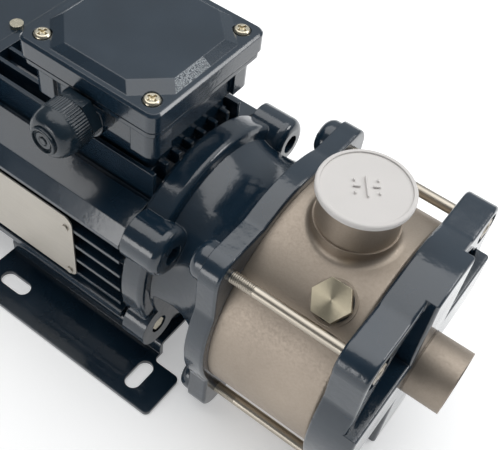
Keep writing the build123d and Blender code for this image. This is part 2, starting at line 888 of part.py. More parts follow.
def discharge_cap():
    """Push-in transport plug: a thin flange on the socket and a hollow spigot in its mouth."""
    cap = column(Circle(cap_radius), port_top, port_top + cap_thickness)
    cap = fillet(cap.faces().sort_by(Axis.Z)[-1].edges(), cap_rim / 2)
    cap -= column(Circle(cap_radius - cap_rim), port_top + cap_thickness - cap_rim_depth, port_top + cap_thickness)
    spigot = port_mouth_radius - cap_clearance
    cap += column(Circle(spigot) - Circle(spigot - cap_spigot_wall), port_top - cap_spigot, port_top)
    return port_axis() * cap


def suction_nipple():
    shoulder = barrel_end + cover_block_length + nipple_shoulder
    root = ring(nipple_root_radius, nipple_bore, barrel_end - barrel_wall, shoulder)
    return root + ring(nipple_radius, nipple_bore, shoulder, barrel_end + nipple_length)


def plug_screw(angle):
    seat = barrel_radius + vent_boss_height + vent_washer_thickness
    plane = radial_plane(angle, seat)
    head = extrude(plane * RegularPolygon(plug_flat, 6, major_radius=False), amount=plug_head_height)
    reach = plug_flat / math.cos(math.pi / 6)
    cone = extrude(plane * Circle(reach), amount=plug_head_height)
    crown = [f for f in cone.faces() if f.center().length > seat + plug_head_height * 0.9 and is_flat(f, plane)]
    cone = chamfer(crown[0].edges(), plug_chamfer)
    head = head & cone
    return head + extrude(plane * Circle(plug_shank_radius), amount=-plug_shank_length - vent_washer_thickness)


def plug_washer(angle):
    plane = radial_plane(angle, barrel_radius + vent_boss_height)
    return extrude(plane * (Circle(vent_washer_radius) - Circle(plug_shank_radius)), amount=vent_washer_thickness)


def tie_rods():
    front = barrel_end + nut_seat + rod_washer_thickness + rod_nut_height + rod_proud
    group = Part()
    for y, z in rod_places:
        rod = disc(rod_thread_radius, flange_face - rod_anchor, flange_face + rod_visible_thread)
        rod += disc(rod_shank_radius, flange_face + rod_visible_thread, front - rod_end_thread)
        rod += disc(rod_thread_radius, front - rod_end_thread, front)
        group += Pos(0, y, z) * rod
    return group


def tie_rod_washers():
    start = barrel_end + nut_seat
    washer = ring(rod_washer_radius, rod_thread_radius, start, start + rod_washer_thickness)
    return Part() + [Pos(0, y, z) * washer for y, z in rod_places]


def tie_rod_nuts():
    start = barrel_end + nut_seat + rod_washer_thickness
    nut = prism(RegularPolygon(rod_nut_flat, 6, major_radius=False), start, start + rod_nut_height)
    nut -= disc(rod_thread_radius, start, start + rod_nut_height)
    return Part() + [Pos(0, y, z) * nut for y, z in rod_places]


def front_cover():
    """Rounded square cover with a raised cross, four pockets and sunk seats for the tie rod nuts."""
    raised = barrel_end + cover_block_length
    floor = barrel_end + cover_web
    body = prism(flange_outline(), barrel_end, barrel_end + cover_thickness)
    body = fillet(body.faces().sort_by(Axis.X)[0].edges() + front_edges(body), edge_round)
    arm = Rectangle(2 * flange_radius, 2 * cover_block_half)
    cross = arm + Rot(0, 0, 90) * arm + Circle(cover_boss_radius)
    block = prism(above_floor(cross & Circle(flange_radius)), floor, raised)
    body += fillet(front_edges(block), edge_round)
    pockets = Circle(flange_radius - cover_rim) - cross
    for y, z in rod_places:
        pockets -= Pos(y, z) * Circle(lobe_radius)
    body -= prism(pockets, floor, raised)
    body -= bolt_holes(rod_places, rod_thread_radius + bolt_clearance, barrel_end, raised)
    body -= bolt_holes(rod_places, nut_seat_radius, barrel_end + nut_seat, raised)
    return body - disc(nipple_radius + cover_nipple_gap, barrel_end, raised)


# Hydraulic stages, counted from the suction end.
def stage_floor(index):
    return flange_face + stage_start + (stage_count - index) * stage_pitch


def curved_vanes(inner, outer, sweep):
    """Backward-curved vanes between two radii, evenly spaced."""
    start = (inner, 0)
    middle_radius = (inner + outer) / 2
    bend = math.radians(sweep * 0.35)
    end = (outer * math.cos(math.radians(sweep)), outer * math.sin(math.radians(sweep)))
    middle = (middle_radius * math.cos(bend), middle_radius * math.sin(bend))
    vane = SlotArc(ThreePointArc(start, middle, end), vane_thickness)
    return Sketch() + [loc * vane for loc in PolarLocations(0, vane_count)]


def diffuser(index):
    floor = stage_floor(index)
    bowl = disc(bowl_radius, floor, floor + stage_pitch)
    bowl -= disc(bowl_radius - bowl_wall, floor + bowl_wall, floor + stage_pitch)
    vane_start = floor + bowl_wall
    vane_end = vane_start + guide_height
    bowl += prism(curved_vanes(eye_radius + bowl_hub_gap + 2, bowl_radius - bowl_wall, guide_sweep), vane_start, vane_end)
    bowl += ring(bowl_radius - guide_plate_gap, hub_radius + bowl_hub_gap, vane_end, vane_end + guide_plate)
    return bowl - disc(eye_radius + bowl_hub_gap, floor, vane_start)


def impeller_back(index):
    return stage_floor(index) + bowl_wall + guide_height + guide_plate + impeller_gap


def impeller(index):
    back = impeller_back(index)
    front = back + shroud + vane_width
    wheel = disc(impeller_radius, back, back + shroud)
    wheel += prism(curved_vanes(hub_radius + 3, impeller_radius - 1, impeller_sweep), back, front)
    wheel += ring(impeller_radius, eye_radius - shroud, front, front + shroud)
    wheel += ring(eye_radius, eye_radius - shroud, front, stage_floor(index - 1) + bowl_wall)
    wheel += disc(hub_radius, stage_floor(index) + cover_plate_gap, back + 2 * shroud)
    return wheel - disc(pump_shaft_radius, stage_floor(index), front + stage_pitch)


def inlet_plate():
    """Plate that closes the first stage, with the first impeller's eye running in it."""
    start = stage_floor(0)
    return ring(bowl_radius, eye_radius + bowl_hub_gap, start, start + bowl_wall)


def hub_end(index):
    return impeller_back(index) + 2 * shroud


def spacer_sleeve(start, end):
    return ring(hub_radius, pump_shaft_radius, start, end)


shaft_nut_start = hub_end(1)
shaft_front = shaft_nut_start + shaft_nut_height


def motor_shaft():
    fan_end = cowl_rear + grille_thickness + fan_gap / 2
    return turned(
        (fan_end, 0),
        (fan_end, fan_seat_radius),
        (rear_bearing - fan_gap / 2, fan_seat_radius),
        (rear_bearing - fan_gap / 2, bearing_bore_radius),
        (housing_rear, bearing_bore_radius),
        (housing_rear, rotor_seat_radius),
        (motor_face, rotor_seat_radius),
        (motor_face, bearing_bore_radius),
        (front_bearing + bearing_width, bearing_bore_radius),
        (front_bearing + bearing_width, pump_shaft_radius),
        (shaft_front, pump_shaft_radius),
        (shaft_front, 0),
    )


def rotor_core():
    core = disc(rotor_radius, stator_rear, stator_front)
    core += disc(end_ring_radius, stator_rear - end_ring_length, stator_front + end_ring_length)
    return core - disc(rotor_seat_radius, housing_rear, motor_face)


def cooling_fan():
    front = cowl_front - cowl_seat - fan_gap - lobe_head_height
    rear = front - fan_width
    wheel = disc(fan_hub_radius, rear, front) + disc(fan_radius, front - fan_blade_thickness, front)
    length = fan_radius - fan_hub_radius + 2
    blade = Box(fan_width, length, fan_blade_thickness, align=(Align.MIN, Align.MIN, Align.CENTER))
    for i in range(fan_blades):
        wheel += Pos(rear, 0, 0) * Rot(360 / fan_blades * i, 0, 0) * Pos(0, fan_hub_radius - 2, 0) * blade
    return wheel - disc(fan_seat_radius, rear, front)


def shaft_nut():
    nut = prism(RegularPolygon(shaft_nut_flat + 2, 6), shaft_nut_start, shaft_front)
    return nut - disc(pump_shaft_radius, shaft_nut_start, shaft_front)


def seal_stationary_ring():
    return ring(seat_radius, seat_bore, flange_face, flange_face + seat_length)


def seal_rotating_head():
    start = flange_face + seat_length
    return ring(head_radius, pump_shaft_radius, start, stage_floor(stage_count) + cover_plate_gap)


def is_flat(face, plane):
    return abs(abs(face.normal_at().dot(plane.z_dir)) - 1) < 1e-6


floor_pieces = {"base_plate": base_plate(), "foot_bolts": foot_bolts()}

shaft_pieces = {
    "motor_housing": motor_housing(),
    "stator_core": stator_core(),
    "stator_windings": stator_windings(),
    "rotor_core": rotor_core(),
    "motor_shaft": motor_shaft(),
    "motor_end_shield": motor_end_shield(),
    "shield_bolts": shield_bolts(),
    "rear_bearing_outer": bearing_outer(rear_bearing),
    "rear_bearing_inner": bearing_inner(rear_bearing),
    "front_bearing_outer": bearing_outer(front_bearing),
    "front_bearing_inner": bearing_inner(front_bearing),
    "preload_washer": preload_washer(),
    "cooling_fan": cooling_fan(),
    "fan_cover": fan_cover(),
    "fan_cover_screws": fan_cover_screws(),
    "terminal_box_body": terminal_box_body(),
    "lid_gasket": lid_gasket(),
    "terminal_box_lid": terminal_box_lid(),
    "lid_screws": lid_screws(),
    "terminal_block": terminal_block(),
    "terminal_studs": terminal_studs(),
    "gland_body": gland_body(),
    "gland_dome_nut": gland_dome_nut(),
    "gland_blank_plug": gland_blank_plug(),
    "nameplate": nameplate(),
    "nameplate_rivets": nameplate_rivets(),
    "pump_bracket": pump_bracket(),
    "bracket_bolts": bracket_bolts(),
    "seal_plate": seal_plate(),
    "barrel_o_ring": barrel_o_ring(),
    "pump_barrel": pump_barrel(),
    "discharge_socket": discharge_socket(),
    "discharge_cap": discharge_cap(),
    "suction_nipple": suction_nipple(),
    "vent_plug": plug_screw(vent_angle),
    "vent_plug_washer": plug_washer(vent_angle),
    "drain_plug": plug_screw(drain_angle),
    "drain_plug_washer": plug_washer(drain_angle),
    "front_cover": front_cover(),
    "tie_rods": tie_rods(),
    "tie_rod_washers": tie_rod_washers(),
    "tie_rod_nuts": tie_rod_nuts(),
    "inlet_plate": inlet_plate(),
    "diffuser_1": diffuser(1),
    "diffuser_2": diffuser(2),
    "impeller_1": impeller(1),
    "impeller_2": impeller(2),
    "shaft_nut": shaft_nut(),
    "spacer_sleeve": spacer_sleeve(hub_end(2), stage_floor(1) + cover_plate_gap),
    "seal_stationary_ring": seal_stationary_ring(),
    "seal_rotating_head": seal_rotating_head(),
}

os.makedirs("parts", exist_ok=True)
for name, piece in floor_pieces.items():
    export_step(piece, f"parts/{name}.step")
for name, piece in shaft_pieces.items():
    export_step(Pos(0, 0, shaft_height) * piece, f"parts/{name}.step")
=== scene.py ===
"""Looks of the horizontal multistage pump: materials, small detail pieces, studio and camera."""
import json
import math

import bmesh
import bpy
from mathutils import Matrix, Vector


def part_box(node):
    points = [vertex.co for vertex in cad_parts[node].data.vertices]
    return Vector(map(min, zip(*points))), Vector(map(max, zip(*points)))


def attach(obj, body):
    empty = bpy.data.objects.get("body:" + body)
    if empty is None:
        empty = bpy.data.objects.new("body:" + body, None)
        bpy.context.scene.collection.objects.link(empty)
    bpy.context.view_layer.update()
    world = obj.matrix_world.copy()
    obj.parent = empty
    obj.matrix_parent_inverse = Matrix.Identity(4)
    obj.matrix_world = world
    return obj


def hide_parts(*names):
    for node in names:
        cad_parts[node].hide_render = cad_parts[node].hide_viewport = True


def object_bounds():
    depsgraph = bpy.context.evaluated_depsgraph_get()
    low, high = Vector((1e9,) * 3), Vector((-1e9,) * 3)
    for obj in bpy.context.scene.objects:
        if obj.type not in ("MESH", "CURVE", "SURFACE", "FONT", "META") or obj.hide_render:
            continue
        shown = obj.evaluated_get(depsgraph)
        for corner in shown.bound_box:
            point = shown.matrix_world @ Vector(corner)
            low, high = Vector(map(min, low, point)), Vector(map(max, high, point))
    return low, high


MM = 0.001
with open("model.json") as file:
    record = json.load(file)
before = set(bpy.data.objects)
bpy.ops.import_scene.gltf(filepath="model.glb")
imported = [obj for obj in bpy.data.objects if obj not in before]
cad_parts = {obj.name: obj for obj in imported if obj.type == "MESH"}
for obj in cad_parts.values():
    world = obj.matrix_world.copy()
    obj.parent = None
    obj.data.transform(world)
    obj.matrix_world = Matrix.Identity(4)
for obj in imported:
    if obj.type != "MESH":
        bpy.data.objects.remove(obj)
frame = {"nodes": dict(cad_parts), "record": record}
cad_box = [list(map(float, corner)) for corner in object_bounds()]
nodes = frame["nodes"]

# Places on the object, read from the frame.
SHAFT_HEIGHT = sum(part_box("suction_nipple")[i][2] for i in (0, 1)) / 2


def middle(node):
    low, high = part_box(node)
    return Vector([(a + b) / 2 for a, b in zip(low, high)])


# ---------------------------------------------------------------- materials

def new_material(name):
    material = bpy.data.materials.new(name)
    material.use_nodes = True
    tree = material.node_tree
    return material, tree.nodes, tree.links, tree.nodes["Principled BSDF"]


def set_sockets(shader, **values):
    for name, value in values.items():
        shader.inputs[name.replace("_", " ")].default_value = value


def noise(tree_nodes, links, scale, detail=3.0, stretch=(1, 1, 1)):
    coordinates = tree_nodes.new("ShaderNodeTexCoord")
    mapping = tree_nodes.new("ShaderNodeMapping")
    mapping.inputs["Scale"].default_value = stretch
    texture = tree_nodes.new("ShaderNodeTexNoise")
    texture.inputs["Scale"].default_value = scale
    texture.inputs["Detail"].default_value = detail
    links.new(coordinates.outputs["Object"], mapping.inputs["Vector"])
    links.new(mapping.outputs["Vector"], texture.inputs["Vector"])
    return texture


def ramp(tree_nodes, links, source, stops):
    node = tree_nodes.new("ShaderNodeValToRGB")
    elements = node.color_ramp.elements
    elements[0].position, elements[0].color = stops[0]
    elements[1].position, elements[1].color = stops[-1]
    for position, colour in stops[1:-1]:
        element = elements.new(position)
        element.color = colour
    links.new(source, node.inputs["Fac"])
    return node


def bump(tree_nodes, links, source, distance, before, strength=1.0):
    node = tree_nodes.new("ShaderNodeBump")
    node.inputs["Strength"].default_value = strength
    node.inputs["Distance"].default_value = distance
    links.new(source, node.inputs["Height"])
    links.new(before.outputs["Normal"], node.inputs["Normal"])
    return node


def soft_edges(tree_nodes, radius):
    """Rounds the shading of sharp edges, as paint and tumbling do, so that they catch the light."""
    node = tree_nodes.new("ShaderNodeBevel")
    node.samples = 6
    node.inputs["Radius"].default_value = radius * MM
    return node


def math_node(tree_nodes, links, operation, *values):
    node = tree_nodes.new("ShaderNodeMath")
    node.operation = operation
    for socket, value in zip(node.inputs, values):
        if isinstance(value, (int, float)):
            socket.default_value = value
        else:
            links.new(value, socket)
    return node.outputs[0]


def vector_node(tree_nodes, links, operation, *values):
    node = tree_nodes.new("ShaderNodeVectorMath")
    node.operation = operation
    for socket, value in zip(node.inputs, values):
        if isinstance(value, (tuple, Vector)):
            socket.default_value = value
        else:
            links.new(value, socket)
    return node.outputs["Value"] if operation == "DOT_PRODUCT" else node.outputs["Vector"]


def grey(value):
    return (value, value, value, 1)


def enamel(name, colour, roughness=(0.14, 0.26), peel=0.00004, casting=0.0, painted_glint=None):
    """Gloss enamel over metal: orange peel, dust in the gloss and, on castings, a rough skin under it."""
    material, tree, links, shader = new_material(name)
    set_sockets(shader, IOR=1.5, Coat_Weight=0.5, Coat_Roughness=0.06)
    patches = noise(tree, links, 35, 4)
    gloss = ramp(tree, links, patches.outputs["Fac"],
                 [(0.35, grey(roughness[0])), (0.7, grey(roughness[1]))])
    links.new(gloss.outputs["Color"], shader.inputs["Roughness"])
    tint = ramp(tree, links, patches.outputs["Fac"],
                [(0.3, (*[c * 0.85 for c in colour], 1)), (0.75, (*[c * 1.15 for c in colour], 1))])
    colour_out = tint.outputs["Color"]
    last = soft_edges(tree, 0.7)
    last = bump(tree, links, noise(tree, links, 420, 2).outputs["Fac"], peel, last)
    if casting:
        last = bump(tree, links, noise(tree, links, 95, 4).outputs["Fac"], casting, last)
    # This hook paints light into the colour: on the lid it mixes in a painted reflection and adds a bump.
    if painted_glint is not None:
        colour_out, last = painted_glint(tree, links, colour_out, last)
    links.new(colour_out, shader.inputs["Base Color"])
    links.new(last.outputs["Normal"], shader.inputs["Normal"])
    links.new(last.outputs["Normal"], shader.inputs["Coat Normal"])
    return material


def stipple_and_painted_glint(tree, links, colour, normal):
    """A band on the lid's bevel that faces the wet end, over the near half: a fine hammered stipple bump,
    with silvery spots painted into the colour as a reflection of light.
    """
    geometry = tree.new("ShaderNodeNewGeometry")
    tilt = vector_node(tree, links, "DOT_PRODUCT", geometry.outputs["True Normal"], LID_BEVEL)
    facing = math_node(tree, links, "GREATER_THAN", tilt, 0.985)
    split = tree.new("ShaderNodeSeparateXYZ")
    links.new(geometry.outputs["Position"], split.inputs["Vector"])
    along = math_node(tree, links, "COMPARE", split.outputs["Y"], STIPPLE_MIDDLE * MM, STIPPLE_HALF * MM)
    area = math_node(tree, links, "MULTIPLY", facing, along)
    grains = noise(tree, links, 2200, 1)
    painted_glint_spots = ramp(tree, links, grains.outputs["Fac"], [(0.44, grey(0.0)), (0.56, grey(1.0))])
    share = math_node(tree, links, "MULTIPLY", area, painted_glint_spots.outputs["Color"])
    # The silvery spots mixed into the colour here are a painted reflection; the bump below is the real
    # stipple.
    mix = tree.new("ShaderNodeMix")
    mix.data_type = "RGBA"
    links.new(share, mix.inputs["Factor"])
    links.new(colour, mix.inputs["A"])
    mix.inputs["B"].default_value = (0.34, 0.37, 0.39, 1)
    height = math_node(tree, links, "MULTIPLY", area, grains.outputs["Fac"])
    return mix.outputs["Result"], bump(tree, links, height, 0.0004, normal)


def metal(name, colour, roughness, grain=900, depth=0.00004, stretch=(1, 1, 1), variation=0.08, edge=0.3):
    """Bare metal with a fine blasted or drawn grain and slow stains in its colour."""
    material, tree, links, shader = new_material(name)
    set_sockets(shader, Metallic=1.0)
    cloud = noise(tree, links, 22, 4)
    dark = tuple(c * (1 - variation) for c in colour)
    light = tuple(c * (1 + variation) for c in colour)
    tint = ramp(tree, links, cloud.outputs["Fac"], [(0.3, (*dark, 1)), (0.7, (*light, 1))])
    links.new(tint.outputs["Color"], shader.inputs["Base Color"])
    fine = noise(tree, links, grain, 3, stretch)
    rough = ramp(tree, links, fine.outputs["Fac"],
                 [(0.3, grey(roughness - 0.05)), (0.7, grey(roughness + 0.06))])
    links.new(rough.outputs["Color"], shader.inputs["Roughness"])
    last = bump(tree, links, fine.outputs["Fac"], depth, soft_edges(tree, edge))
    links.new(last.outputs["Normal"], shader.inputs["Normal"])
    return material


def turned(material, centre, axis):
    """Adds the circular tool marks of a turned face round an axis."""
    tree, links = material.node_tree.nodes, material.node_tree.links
    shader = tree["Principled BSDF"]
    geometry = tree.new("ShaderNodeNewGeometry")
    arm = vector_node(tree, links, "SUBTRACT", geometry.outputs["Position"], centre)
    tangent = vector_node(tree, links, "NORMALIZE", vector_node(tree, links, "CROSS_PRODUCT", arm, axis))
    links.new(tangent, shader.inputs["Tangent"])
    shader.inputs["Anisotropic"].default_value = 0.85
    return material


def plastic(name, colour, roughness, grain=300, depth=0.00003, glow=0.0, edge=0.4):
    material, tree, links, shader = new_material(name)
    set_sockets(shader, IOR=1.5, Subsurface_Weight=glow)
    shader.inputs["Subsurface Radius"].default_value = (0.004, 0.004, 0.004)
    cloud = noise(tree, links, 40, 3)
    tint = ramp(tree, links, cloud.outputs["Fac"],
                [(0.3, (*[c * 0.95 for c in colour], 1)), (0.7, (*colour, 1))])
    links.new(tint.outputs["Color"], shader.inputs["Base Color"])
    rough = ramp(tree, links, cloud.outputs["Fac"], [(0.3, grey(roughness)), (0.7, grey(roughness + 0.08))])
    links.new(rough.outputs["Color"], shader.inputs["Roughness"])
    last = bump(tree, links, noise(tree, links, grain, 2).outputs["Fac"], depth, soft_edges(tree, edge))
    links.new(last.outputs["Normal"], shader.inputs["Normal"])
    return material


NAVY = (0.009, 0.022, 0.038)
LID_BEVEL = Vector((0.5, 0, 0.866))
STIPPLE_MIDDLE, STIPPLE_HALF = -11.5, 13.5
PLUG_CENTRE = middle("vent_plug_washer")
PLUG_AXIS = Vector((0, PLUG_CENTRE.y, PLUG_CENTRE.z - SHAFT_HEIGHT)).normalized()
MATERIALS = {
    "navy_paint": enamel("navy_enamel", NAVY),
    "blasted_steel": metal("blasted_stainless", (0.385, 0.33, 0.275), 0.54),
    "rod_steel": metal("drawn_stainless", (0.44, 0.4, 0.34), 0.36, 600, 0.00002, (0.05, 1, 1)),
    "zinc_steel": metal("zinc_plate", (0.66, 0.6, 0.47), 0.25, 500),
    "plug_brass": turned(metal("plated_brass", (0.56, 0.5, 0.37), 0.42, 700), PLUG_CENTRE, PLUG_AXIS),
    "cap_plastic": plastic("white_polyethylene", (0.69, 0.665, 0.645), 0.5, glow=0.1),
    "gland_plastic": plastic("dark_polyamide", (0.008, 0.018, 0.028), 0.16, 700, 0.0001),
    "plate_aluminium": metal("satin_aluminium", (0.5, 0.47, 0.42), 0.4, 700, 0.00002, (0.08, 1, 1)),
    "rubber_black": plastic("black_rubber", (0.012, 0.012, 0.013), 0.6),
    "machined_steel": metal("machined_steel", (0.5, 0.5, 0.5), 0.25, 400, 0.00002, (1, 0.1, 0.1)),
    "copper_wire": metal("enamelled_copper", (0.6, 0.25, 0.1), 0.35),
    "lamination": metal("electrical_steel", (0.2, 0.2, 0.21), 0.45, 900, 0.00004, (6, 0.2, 0.2)),
    "carbon": plastic("carbon_black", (0.03, 0.03, 0.03), 0.35),
    "fan_plastic": plastic("black_polypropylene", (0.02, 0.02, 0.022), 0.45),
}
CASTINGS = ("pump_bracket", "front_cover", "motor_end_shield")
cast_enamel = enamel("navy_enamel_casting", NAVY, casting=0.00025)
# The lid's enamel carries a painted reflection on its bevel.
lid_enamel = enamel("navy_enamel_lid", NAVY, painted_glint=stipple_and_painted_glint)
slot_of = {part["node"]: part["material_slot"] for part in frame["record"]["subparts"]}


def dress(obj, material):
    obj.data.materials.clear()
    obj.data.materials.append(material)


for name, obj in nodes.items():
    dress(obj, cast_enamel if name in CASTINGS else MATERIALS[slot_of[name]])
dress(nodes["terminal_box_lid"], lid_enamel)

# ---------------------------------------------------------------- detail pieces

SHARP_ANGLE = 38


def quarters(node, first, second):
    """The node's corner points in metres, in four lists: one per quarter of the two axes."""
    centre = middle(node)
    groups = {}
    obj = nodes[node]
    for vertex in obj.data.vertices:
        point = obj.matrix_world @ vertex.co
        groups.setdefault((point[first] > centre[first], point[second] > centre[second]), []).append(point)
    return list(groups.values())


def extent(points):
    return [Vector([pick(point[i] for point in points) for i in range(3)]) for pick in (min, max)]


def lathe(name, profile, centre, axis, steps=64, swell=None):
    """A piece turned round an axis from (distance along, radius) in mm. swell changes the radius."""
    axis = Vector(axis).normalized()
    side = axis.orthogonal().normalized()
    other = axis.cross(side)
    mesh = bmesh.new()
    rings = []
    for along, radius in profile:
        if radius == 0:
            rings.append([mesh.verts.new(Vector(centre) + axis * along * MM)])
            continue
        loop = []
        for k in range(steps):
            angle = 2 * math.pi * k / steps
            reach = radius + (swell(along, angle, radius) if swell else 0)
            arm = side * math.cos(angle) + other * math.sin(angle)
            loop.append(mesh.verts.new(Vector(centre) + (axis * along + arm * reach) * MM))
        rings.append(loop)
    for low, high in zip(rings, rings[1:]):
        for k in range(steps):
            corners = [low[k % len(low)], low[(k + 1) % len(low)]]
            corners += [high[(k + 1) % len(high)], high[k % len(high)]]
            mesh.faces.new(list(dict.fromkeys(corners)))
    bmesh.ops.recalc_face_normals(mesh, faces=mesh.faces)
    return add_piece(name, mesh)


def add_piece(name, mesh):
    data = bpy.data.meshes.new(name)
    mesh.to_mesh(data)
    mesh.free()
    data.polygons.foreach_set("use_smooth", [True] * len(data.polygons))
    data.set_sharp_from_angle(angle=math.radians(SHARP_ANGLE))
    obj = bpy.data.objects.new(name, data)
    bpy.context.scene.collection.objects.link(obj)
    return obj


def join(name, pieces):
    """One object from several, so that a group of equal pieces stays one piece."""
    mesh = bmesh.new()
    for piece in pieces:
        mesh.from_mesh(piece.data)
        bpy.data.objects.remove(piece)
    return add_piece(name, mesh)


def fit(piece, slot, body, *replaced):
    dress(piece, MATERIALS[slot])
    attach(piece, body)
    if replaced:
        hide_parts(*replaced)


def arc(centre_along, centre_radius, radius, start, end, count=8):
    """Points of a profile on a quarter or other arc, angles in degrees from the axis."""
    angles = [math.radians(start + (end - start) * k / count) for k in range(count + 1)]
    return [(centre_along + radius * math.cos(a), centre_radius + radius * math.sin(a)) for a in angles]


THREAD_PITCH, THREAD_DEPTH = 1.0, 0.32
THREAD_FRONT, THREAD_END = 12.0, 12.0
THREAD_STEPS = 6
ROD_CHAMFER = 0.7
ROD_SIDES = 24


def threaded_rods():
    """Tie rods with a real helix at both ends and a plain drawn shank between."""
    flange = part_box("pump_bracket")[1][0] / MM
    rods = []
    for points in quarters("tie_rods", 1, 2):
        low, high = extent(points)
        radius = (high.y - low.y) / 2 / MM
        start, end = low.x / MM, high.x / MM
        front, back = flange + THREAD_FRONT, end - THREAD_END
        shank = radius - THREAD_DEPTH * 0.3

        def helix(along, angle, _):
            if front < along + start < back or not start + ROD_CHAMFER < along + start < end - ROD_CHAMFER:
                return 0
            phase = (along / THREAD_PITCH - angle / (2 * math.pi)) % 1
            return -THREAD_DEPTH * 2 * abs(phase - 0.5)
        profile = [(0, 0), (0, radius - ROD_CHAMFER), (ROD_CHAMFER, radius)]
        step = THREAD_PITCH / THREAD_STEPS
        profile += [(k * step, radius) for k in range(THREAD_STEPS, int((front - start) / step))]
        profile += [(front - start + 0.4, shank), (back - start - 0.4, shank)]
        tail = [(back - start + k * step, radius) for k in range(int((end - back - 0.8) / step))]
        profile += tail + [(end - start - 0.5, radius - 0.1), (end - start, radius - 0.6), (end - start, 0)]
        centre = Vector((low.x, (low.y + high.y) / 2, (low.z + high.z) / 2))
        rods.append(lathe("rod", profile, centre, (1, 0, 0), ROD_SIDES, helix))
    fit(join("threaded_tie_rods", rods), "rod_steel", "frame", "tie_rods")


SCREW_SIDES, SCREW_RINGS = 96, 22
CROWN_SHARE = 0.45
RECESS_REACH, RECESS_WIDTH, RECESS_DEPTH = 0.62, 0.2, 1.5


def lid_screw_heads():
    """Pan heads with a cross recess, on their shanks."""
    screws = []
    for points in quarters("lid_screws", 0, 1):
        low, high = extent(points)
        centre = Vector(((low.x + high.x) / 2, (low.y + high.y) / 2, low.z))
        radius = (high.x - low.x) / 2 / MM
        seat = min(p.z for p in points if (p.xy - centre.xy).length > 0.9 * radius * MM)
        bottom, top = (seat - low.z) / MM, (high.z - low.z) / MM
        shank = min(max((p.xy - centre.xy).length for p in points if p.z < low.z + 0.0001) / MM, radius - 1)
        crown = (top - bottom) * CROWN_SHARE
        profile = [(0, 0), (0, shank), (bottom, shank), (bottom, radius - 0.15), (bottom + 0.15, radius)]
        profile += [(top - crown, radius)]
        profile += [(top - crown + crown * math.sin(math.radians(90 * min(1.0, k / 6))),
                     radius - (radius - 0.01) * k / SCREW_RINGS) for k in range(1, SCREW_RINGS + 1)]
        screw = lathe("screw", profile, centre, (0, 0, 1), SCREW_SIDES)
        twist = 0.6 * centre.x / MM
        for vertex in screw.data.vertices:
            if vertex.co.z < low.z + (top - crown * 1.2) * MM:
                continue
            flat = Matrix.Rotation(twist, 2) @ (vertex.co.xy - centre.xy) / MM
            wide, narrow = max(abs(flat.x), abs(flat.y)), min(abs(flat.x), abs(flat.y))
            if wide < radius * RECESS_REACH and narrow < radius * (RECESS_WIDTH - 0.1 * wide / radius):
                vertex.co.z -= RECESS_DEPTH * MM * (1 - 0.5 * wide / radius)
        screws.append(screw)
    fit(join("cross_recess_screws", screws), "zinc_steel", "frame", "lid_screws")


RIBS, RIB_DEPTH, RIB_LENGTH = 54, 0.4, 9.0
NUT_SIDES = 8 * RIBS
RIM_ROUND = 0.6


def gland_dome():
    """Domed gland nut: moulded grip ribs at its foot, a smooth dome and a dished blanking plug."""
    low, high = [Vector(corner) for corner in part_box("gland_dome_nut")]
    plug_low = Vector(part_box("gland_blank_plug")[0])
    plug_radius = (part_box("gland_blank_plug")[1][0] - plug_low.x) / 2 / MM
    centre = Vector(((low.x + high.x) / 2, high.y, (low.z + high.z) / 2))
    length, radius = (high.y - low.y) / MM, (high.x - low.x) / 2 / MM

    def ribs(along, angle, nominal):
        if not 0.6 < along < RIB_LENGTH or nominal < radius - 2:
            return 0
        return -RIB_DEPTH * (0.5 + 0.5 * math.cos(RIBS * angle)) ** 2
    dome = length - RIB_LENGTH
    profile = [(0, plug_radius), (0, radius - 0.6), (0.6, radius), (0.9, radius)]
    profile += [(1.0 + k, radius) for k in range(int(RIB_LENGTH) - 1)] + [(RIB_LENGTH + 0.2, radius - 0.1)]
    rim = plug_radius + 0.4
    bend = [(RIB_LENGTH + 0.4 + (dome - 0.4) * math.sin(a), rim + (radius - 0.2 - rim) * math.cos(a))
            for a in [math.radians(90 * k / 12) for k in range(13)]]
    nut = lathe("ribbed_dome_nut", profile + bend + [(length, plug_radius), (0, plug_radius)], centre,
                (0, -1, 0), NUT_SIDES, ribs)
    fit(nut, "gland_plastic", "frame", "gland_dome_nut")
    depth = (high.y - plug_low.y) / MM
    face = depth - 0.9
    profile = [(0, 0), (0, plug_radius), (face + 0.3, plug_radius)]
    profile += arc(face + 0.3, plug_radius - RIM_ROUND, RIM_ROUND, 90, 0, 6)
    profile += [(face + 0.8, plug_radius - 1.2), (face - 0.5, plug_radius - 1.5)]
    profile += [(face - 0.5, plug_radius - 2.4)]
    profile += [(face + 0.1, plug_radius - 2.8), (face + 0.1, 2.6), (face - 0.3, 2.3), (face - 0.3, 2.0)]
    profile += [(face + 0.5, 1.7), (face + 0.5, 0)]
    plug = lathe("dished_blank_plug", profile, centre, (0, -1, 0), 64)
    fit(plug, "gland_plastic", "frame", "gland_blank_plug")


MARK_TURN = math.radians(126.3)
MARK_HEIGHT = 0.35
MARK_WIDTH = 0.9
END_STEPS = 12


